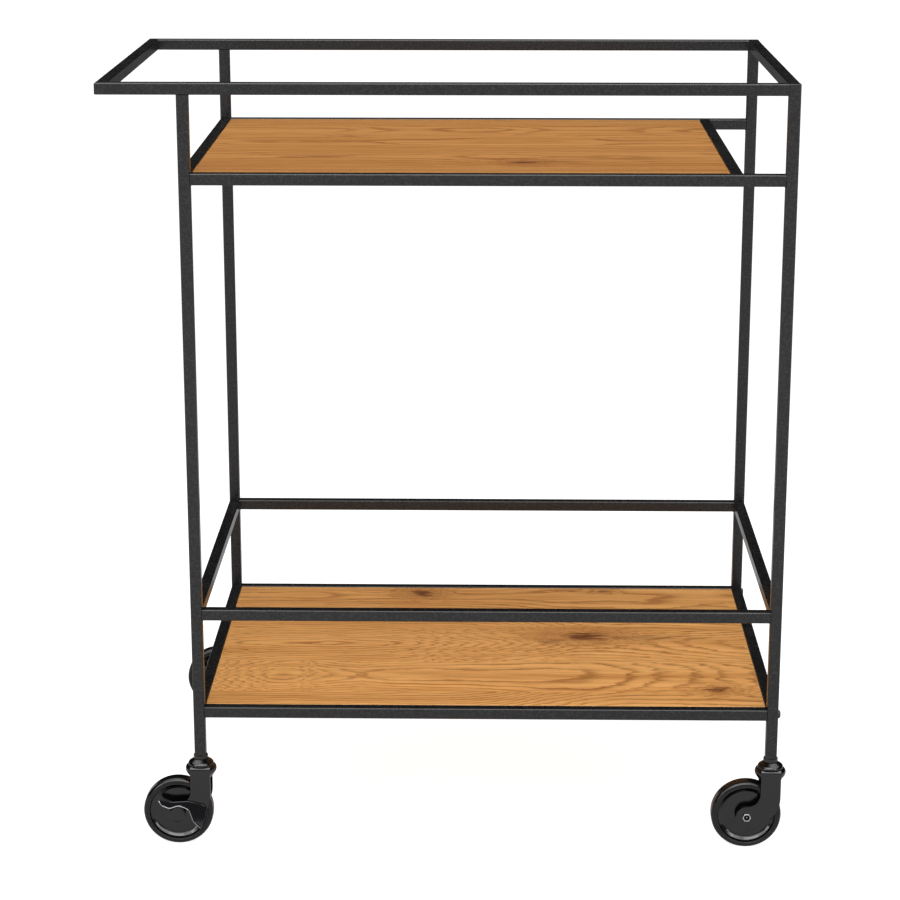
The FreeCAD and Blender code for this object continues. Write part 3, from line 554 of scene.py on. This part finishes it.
def outlineBandAndHighlight(tree, axes, low, high):
    # Paler band along the outline of the board: a painted highlight where its chamfered edge catches the light,
    # together with its paler edge banding
    insides = []
    for order, name in enumerate("XY"):
        middle = (low[order] + high[order]) / 2
        away = number(tree, "ABSOLUTE", number(tree, "SUBTRACT", axes[name], middle))
        insides.append(number(tree, "SUBTRACT", high[order] - middle, away))
    return remap(tree, number(tree, "MINIMUM", *insides), oakSetup["bandFrom"], oakSetup["bandTo"],
                 oakSetup["bandAmount"], 0)


def growthLines(tree, board, strips, axes, local, top):
    # The rings' dark lines, and the knots' cores and halos, which push the rings aside
    distance = pithDistance(tree, board, strips, axes, top)
    for alongScale, acrossScale, amount in oakSetup["rough"]:
        noise = cloud(tree, scaled(tree, local, alongScale, acrossScale, 1), detail=2, roughness=0.6)
        distance = number(tree, "ADD", distance, offCentre(tree, noise, amount))
    core, halo = boardKnots(tree, board, axes)
    push = number(tree, "MULTIPLY", halo, halo)
    distance = number(tree, "MULTIPLY_ADD", push, -oakSetup["knotPush"], distance)
    line = useGroup(tree, rings, Rings=number(tree, "DIVIDE", distance, oakSetup["ringGap"]))["Line"]
    patch = oakSetup["patch"]
    clear = remap(tree, grain(tree, local, patch), patch["from"], patch["to"], patch["least"], 1.0)
    return number(tree, "MULTIPLY", line, clear), core, halo


def oakBoard(board):
    def build(tree, place):
        axes = split(tree, place)
        low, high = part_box(board["piece"])
        strips = seededStrips(tree, board, place)
        seed = byStrip(tree, axes["Y"], strips, "seed")
        local = combine(tree, number(tree, "MULTIPLY", axes["X"], board["stretch"]), axes["Y"], seed)
        line, core, halo = growthLines(tree, board, strips, axes, local, high.z)
        # Slow streaks and fibres tint the wood, pores open mostly in the dark lines
        streak, fibre, pore = oakSetup["streak"], oakSetup["fibre"], oakSetup["pore"]
        tone = number(tree, "ADD", offCentre(tree, grain(tree, local, streak), streak["amount"]),
                      offCentre(tree, grain(tree, local, fibre), fibre["amount"]))
        own = number(tree, "MULTIPLY_ADD", chance(tree, seed), oakSetup["toneSpread"], oakSetup["toneBase"])
        tone = number(tree, "ADD", tone, own, clamp=True)
        pores = remap(tree, grain(tree, local, pore), pore["from"], pore["to"], 0, 1)
        pores = number(tree, "MULTIPLY", pores,
                       number(tree, "MULTIPLY_ADD", line, pore["onLine"], pore["offLine"]))
        shade = number(tree, "MULTIPLY_ADD", line, oakSetup["lineShade"],
                       number(tree, "MULTIPLY", halo, oakSetup["haloShade"]))
        shade = number(tree, "MULTIPLY_ADD", pores, oakSetup["poreShade"], shade, clamp=True)
        colour = mixColour(tree, tone, oakSetup["light"], oakSetup["middle"])
        colour = mixColour(tree, shade, colour, oakSetup["dark"])
        colour = mixColour(tree, core, colour, oakSetup["knot"])
        # Painted highlight along the board's outline, with its paler edge banding
        colour = mixColour(tree, outlineBandAndHighlight(tree, axes, low, high), colour, oakSetup["band"])
        colour = mixColour(tree, 1.0, colour, board["tone"], "MULTIPLY")
        rough = number(tree, "MULTIPLY_ADD", shade, oakSetup["shadeGloss"], oakSetup["gloss"])
        relief = number(tree, "MULTIPLY_ADD", pores, oakSetup["poreRelief"],
                        number(tree, "MULTIPLY", line, oakSetup["lineRelief"]))
        return {"Base Color": colour, "Roughness": rough, "Normal": bump(tree, relief, oakSetup["relief"])}
    return build


# Coats, metals and mouldings

speckSetup = {"scale": 430, "from": 0.40, "to": 0.72}
handledSetup = {"uneven": 0.6, "markTint": 0.25, "markColour": 3, "markRoughness": 0.12,
                "waveScale": 160, "waveHeight": 0.00004}
metalSetup = {"uneven": 0.5, "markColour": 0.82, "markRoughness": 0.3, "markHeight": 0.00002}


def pebbled(tree, place, scale):
    return cloud(tree, scaled(tree, place, scale), detail=2, roughness=0.6)


def coat(colour, roughness, pebbleScale, pebbleHeight, uneven=0.5, speck=0.0):
    # Sprayed or moulded skin with fine pebbles, and specks that catch the light
    def build(tree, place):
        level = useGroup(tree, mottle, Vector=place, Amount=uneven)["Level"]
        specks = remap(tree, pebbled(tree, place, speckSetup["scale"]), speckSetup["from"],
                       speckSetup["to"], 0, speck)
        return {"Base Color": dim(tree, colour, number(tree, "ADD", level, specks)),
                "Roughness": number(tree, "MULTIPLY", level, roughness),
                "Normal": bump(tree, pebbled(tree, place, pebbleScale), pebbleHeight)}
    return build


def handled(colour, roughness):
    # Smooth coat that carries wipe marks
    def build(tree, place):
        level = useGroup(tree, mottle, Vector=place, Amount=handledSetup["uneven"])["Level"]
        marks = useGroup(tree, scuffs, Vector=place)["Marks"]
        tint = number(tree, "MULTIPLY", marks, handledSetup["markTint"])
        worn = mixColour(tree, tint, colour, [handledSetup["markColour"] * part for part in colour])
        rough = number(tree, "MULTIPLY_ADD", marks, handledSetup["markRoughness"],
                       number(tree, "MULTIPLY", level, roughness))
        waves = cloud(tree, scaled(tree, place, handledSetup["waveScale"]), detail=2)
        return {"Base Color": worn, "Roughness": rough,
                "Normal": bump(tree, waves, handledSetup["waveHeight"])}
    return build


def metal(colour, roughness, drawn=(30, 900, 900)):
    # Plated metal with faint drawing marks
    def build(tree, place):
        level = useGroup(tree, mottle, Vector=place, Amount=metalSetup["uneven"])["Level"]
        marks = cloud(tree, scaled(tree, place, *drawn), detail=3, roughness=0.6)
        tint = mixColour(tree, marks, [metalSetup["markColour"] * part for part in colour], colour)
        rough = number(tree, "MULTIPLY_ADD", marks, metalSetup["markRoughness"], level)
        return {"Base Color": tint, "Roughness": number(tree, "MULTIPLY", rough, roughness),
                "Normal": bump(tree, marks, metalSetup["markHeight"])}
    return build


def rounded(build, steps, waves, waveHeight):
    # Adds mould rings round the axle: (from, to, height) steps in metres, and fine turning lines
    def moulded(tree, place):
        parts = build(tree, place)
        radius = useGroup(tree, fromAxle, Vector=place)["Radius"]
        height = 0.0
        for start, end, rise in steps:
            height = number(tree, "ADD", remap(tree, radius, start, end, 0, rise), height)
        wave = number(tree, "SINE", number(tree, "MULTIPLY", radius, waves))
        height = number(tree, "MULTIPLY_ADD", wave, waveHeight, height)
        return {**parts, "Normal": bump(tree, height, normal=parts["Normal"])}
    return moulded


def pressed(build, centre, lean, bend, eyeFrom, eyeTo):
    # Bumps a plate's shading as if rolled back above the height centre, and leaves its eye round the axle flat
    def rolled(tree, place):
        parts = build(tree, place)
        lift = number(tree, "SUBTRACT", split(tree, place)["Z"], centre)
        back = number(tree, "MULTIPLY", number(tree, "MULTIPLY_ADD", lift, -bend, -lean), lift)
        radius = useGroup(tree, fromAxle, Vector=place)["Radius"]
        back = number(tree, "MULTIPLY", back, remap(tree, radius, eyeFrom, eyeTo, 0, 1))
        return {**parts, "Normal": bump(tree, back, normal=parts["Normal"])}
    return rolled


def ringed(build, bands, blur=0.0001):
    # Colours a turned part by distance from its axle: (to, colour, roughness) from the centre out
    def banded(tree, place):
        parts = build(tree, place)
        radius = useGroup(tree, fromAxle, Vector=place)["Radius"]
        colour, rough = parts["Base Color"], parts["Roughness"]
        for edge, tint, level in reversed(bands):
            inside = remap(tree, radius, edge - blur, edge + blur, 1, 0)
            colour = mixColour(tree, inside, colour, tint)
            rough = choose(tree, inside, rough, level)
        return {**parts, "Base Color": colour, "Roughness": rough}
    return banded


frameBlack = {"colour": (0.0036, 0.0034, 0.0036), "pebbleScale": 700, "pebbleHeight": 0.00009,
              "uneven": 0.9, "speck": 5.0}
# Painted shade: a near-black disc round the end of an axle, for the shaded mouth of its nut, with a bright dot at
# its centre
axleEndPaintedShade = ((0.0009, (0.30, 0.30, 0.31), 0.35), (0.0031, (0.004, 0.004, 0.004), 0.5))
hubMoulding = {"steps": ((0.0250, 0.0295, 0.0016), (0.0105, 0.0125, 0.00012)), "waves": 9000,
               "waveHeight": 0.000004}
leverPressing = {"centre": 0.030, "lean": 0.22, "bend": 3, "eyeFrom": 0.0078, "eyeTo": 0.0092}

# By material slot: colour and roughness, then a coat's pebbles or the stretch of a metal's drawing marks
finishes = {
    "frame_coating": finish("frameCoat", coat(roughness=0.27, **frameBlack)),
    "screw_metal": finish("screwZinc", metal((0.62, 0.62, 0.60), 0.28), Metallic=1.0),
    "bolt_metal": finish("boltBlack", handled((0.012, 0.012, 0.0125), 0.28)),
    "insert_metal": finish("insertSteel", metal((0.45, 0.44, 0.43), 0.36), Metallic=1.0),
    "plug_plastic": finish("plugNylon", coat((0.02, 0.02, 0.021), 0.36, 1500, 0.00003)),
    "stem_metal": finish("stemZinc", metal((0.60, 0.60, 0.58), 0.30, (900, 900, 30)), Metallic=1.0),
    "socket_plastic": finish("socketNylon", coat((0.016, 0.016, 0.0165), 0.34, 1500, 0.00003)),
    "ball_metal": finish("ballSteel", metal((0.72, 0.72, 0.73), 0.10, (300, 300, 300)), Metallic=1.0),
    "caster_metal": finish("casterGloss", handled((0.0030, 0.0028, 0.0034), 0.13), Specular_IOR_Level=0.62),
    "axle_metal": finish("axleBlack", ringed(metal((0.016, 0.016, 0.017), 0.24), axleEndPaintedShade), Metallic=1.0),
    "bush_plastic": finish("bushNylon", coat((0.60, 0.57, 0.50), 0.45, 900, 0.00003, 0.2)),
    "hub_plastic": finish("hubMoulding", rounded(handled((0.0030, 0.0029, 0.0032), 0.15), **hubMoulding),
                          Specular_IOR_Level=0.62),
    "tyre_rubber": finish("tyreRubber", handled((0.0040, 0.0039, 0.0041), 0.20), Specular_IOR_Level=0.42),
}
# By the end of a piece's name, where it looks different from its slot or has a figure of its own
ownFinishes = {
    "brake_lever": finish("leverGloss", pressed(handled((0.0036, 0.0028, 0.0046), 0.12), **leverPressing),
                          Specular_IOR_Level=0.62),
    # The nut's mouth round the axle carries painted shade
    "axle_nut": finish("nutNickel", ringed(metal((0.62, 0.62, 0.63), 0.22), axleEndPaintedShade), Metallic=1.0),
}
for name, board in boards.items():
    ownFinishes[board["piece"]] = finish(f"{name}Oak", oakBoard(board), Specular_IOR_Level=0.20)


def finishOf(name, slot):
    for ending, surface in ownFinishes.items():
        if name.endswith(ending):
            return surface
    return finishes[slot]


for entry in frame["record"]["subparts"]:
    piece = nodes[entry["node"]]
    piece.data.materials.clear()
    piece.data.materials.append(finishOf(entry["node"], entry["material_slot"]))
print("finishes set")


# Weld beads under the ends of the bars, where the coat runs over them

welds = {
    "blobs": 9, "radius": 0.0011, "squeeze": 0.62, "inset": 0.0020, "rise": 0.10, "roughness": 0.30,
    "aroundSegments": 14, "alongSegments": 8,
    "swingStep": 9.0, "swingByPlace": (40, 70, 90), "radiusSwing": 0.10, "lean": 0.30, "leanSwing": 0.08,
    "acrossRails": ("upper_front_rail", "upper_back_rail", "guard_front_rail", "guard_back_rail",
                    "lower_front_rail", "lower_back_rail"),
    "crossbars": ("upper_left_crossbar", "upper_inset_crossbar", "guard_left_crossbar",
                  "guard_right_crossbar", "lower_left_crossbar", "lower_right_crossbar", "top_right_bar"),
}


def weldBead(work, bead, start, end, away):
    # A row of flat blobs from start to end, each a little different
    run = end - start
    facing = run.to_track_quat("Z", "Y").to_matrix().to_4x4()
    phase = sum(rate * at for rate, at in zip(welds["swingByPlace"], start))
    for order in range(welds["blobs"]):
        swing = math.sin(welds["swingStep"] * order + phase)
        radius = welds["radius"] * (1 + welds["radiusSwing"] * swing)
        centre = start + run * (order + 0.5) / welds["blobs"] + away * welds["rise"] * radius
        size = Matrix.Diagonal((radius, radius, radius * welds["squeeze"], 1))
        lean = Matrix.Rotation(welds["lean"] + welds["leanSwing"] * swing, 4, "Y")
        drop = bead.copy()
        drop.transform(Matrix.Translation(centre) @ facing @ lean @ size)
        work.from_mesh(drop)
        bpy.data.meshes.remove(drop)


def makeWelds():
    ball = bmesh.new()
    bmesh.ops.create_uvsphere(ball, u_segments=welds["aroundSegments"], v_segments=welds["alongSegments"],
                              radius=1)
    bead = meshFrom(ball, "bead")
    work = bmesh.new()
    inset = welds["inset"]
    for name in welds["acrossRails"]:
        low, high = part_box(name)
        for x, way in ((low.x, 1), (high.x, -1)):
            ends = [Vector((x, y, low.z)) for y in (low.y + inset, high.y - inset)]
            weldBead(work, bead, *ends, Vector((way, 0, -1)))
    for name in welds["crossbars"]:
        low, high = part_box(name)
        for y, way in ((low.y, 1), (high.y, -1)):
            ends = [Vector((x, y, low.z)) for x in (low.x + inset, high.x - inset)]
            weldBead(work, bead, *ends, Vector((0, way, -1)))
    bpy.data.meshes.remove(bead)
    for face in work.faces:
        face.smooth = True
    beads = addObject("weld_beads", meshFrom(work, "weld_beads"))
    beads.data.materials.append(finish("weldCoat", coat(roughness=welds["roughness"], **frameBlack)))
    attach(beads, "frame")
    print("welds made:", len(beads.data.polygons), "faces")


makeWelds()


# Hem along the lower edge of each brake lever, from its foot to its tip, beside and above the axle, in bright
# metal as a painted highlight line

hem = {
    "radius": 0.00050, "segments": 12, "inset": 0.0002, "colour": (0.40, 0.39, 0.41), "roughness": 0.22,
    "run": ((0.0245, -0.0162), (0.0188, -0.0105), (0.0175, -0.0089), (0.0165, -0.0071), (0.0160, -0.0058),
            (0.0135, 0.0022), (0.0129, 0.0037), (0.0118, 0.0050), (0.0105, 0.0061), (0.0053, 0.0087),
            (0.0030, 0.0095), (0.0005, 0.0096), (-0.0019, 0.0090), (-0.0062, 0.0072), (-0.0084, 0.0068),
            (-0.0102, 0.0072), (-0.0152, 0.0092), (-0.0169, 0.0103), (-0.0180, 0.0119), (-0.0198, 0.0155)),
}


def hemTube(spots):
    # A round wire through the spots, which all lie in one plane that faces the front
    across = Vector((0, 1, 0))
    last = len(spots) - 1
    work = bmesh.new()
    loops = []
    for order, spot in enumerate(spots):
        tangent = (spots[min(order + 1, last)] - spots[max(order - 1, 0)]).normalized()
        facing = Matrix((across, tangent.cross(across), tangent)).transposed().to_4x4()
        made = bmesh.ops.create_circle(work, cap_ends=order in (0, last), segments=hem["segments"],
                                       radius=hem["radius"], matrix=Matrix.Translation(spot) @ facing)
        loops.append({edge for vert in made["verts"] for edge in vert.link_edges})
    for before, after in zip(loops, loops[1:]):
        bmesh.ops.bridge_loops(work, edges=[*before, *after])
    bmesh.ops.recalc_face_normals(work, faces=work.faces[:])
    for face in work.faces:
        face.smooth = len(face.verts) == 4
    return work


def makeHem(joint, surface):
    name = joint["child"] + "_hem"
    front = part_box(joint["child"] + "_lever")[0].y + hem["inset"]
    x, y, z = joint["pos_m"]
    spots = [Vector((x + beside, front, z + above)) for beside, above in hem["run"]]
    piece = addObject(name, meshFrom(hemTube(spots), name))
    piece.data.materials.append(surface)
    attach(piece, joint["child"])
    print("hem made:", name)


# The hem's bright metal colour is a painted highlight along the lever's lower edge
hemHighlightFinish = finish("hemPaintedHighlight", metal(hem["colour"], hem["roughness"]), Metallic=1.0)
for joint in frame["joints"]:
    if joint["name"].endswith("brake_tilt"):
        makeHem(joint, hemHighlightFinish)
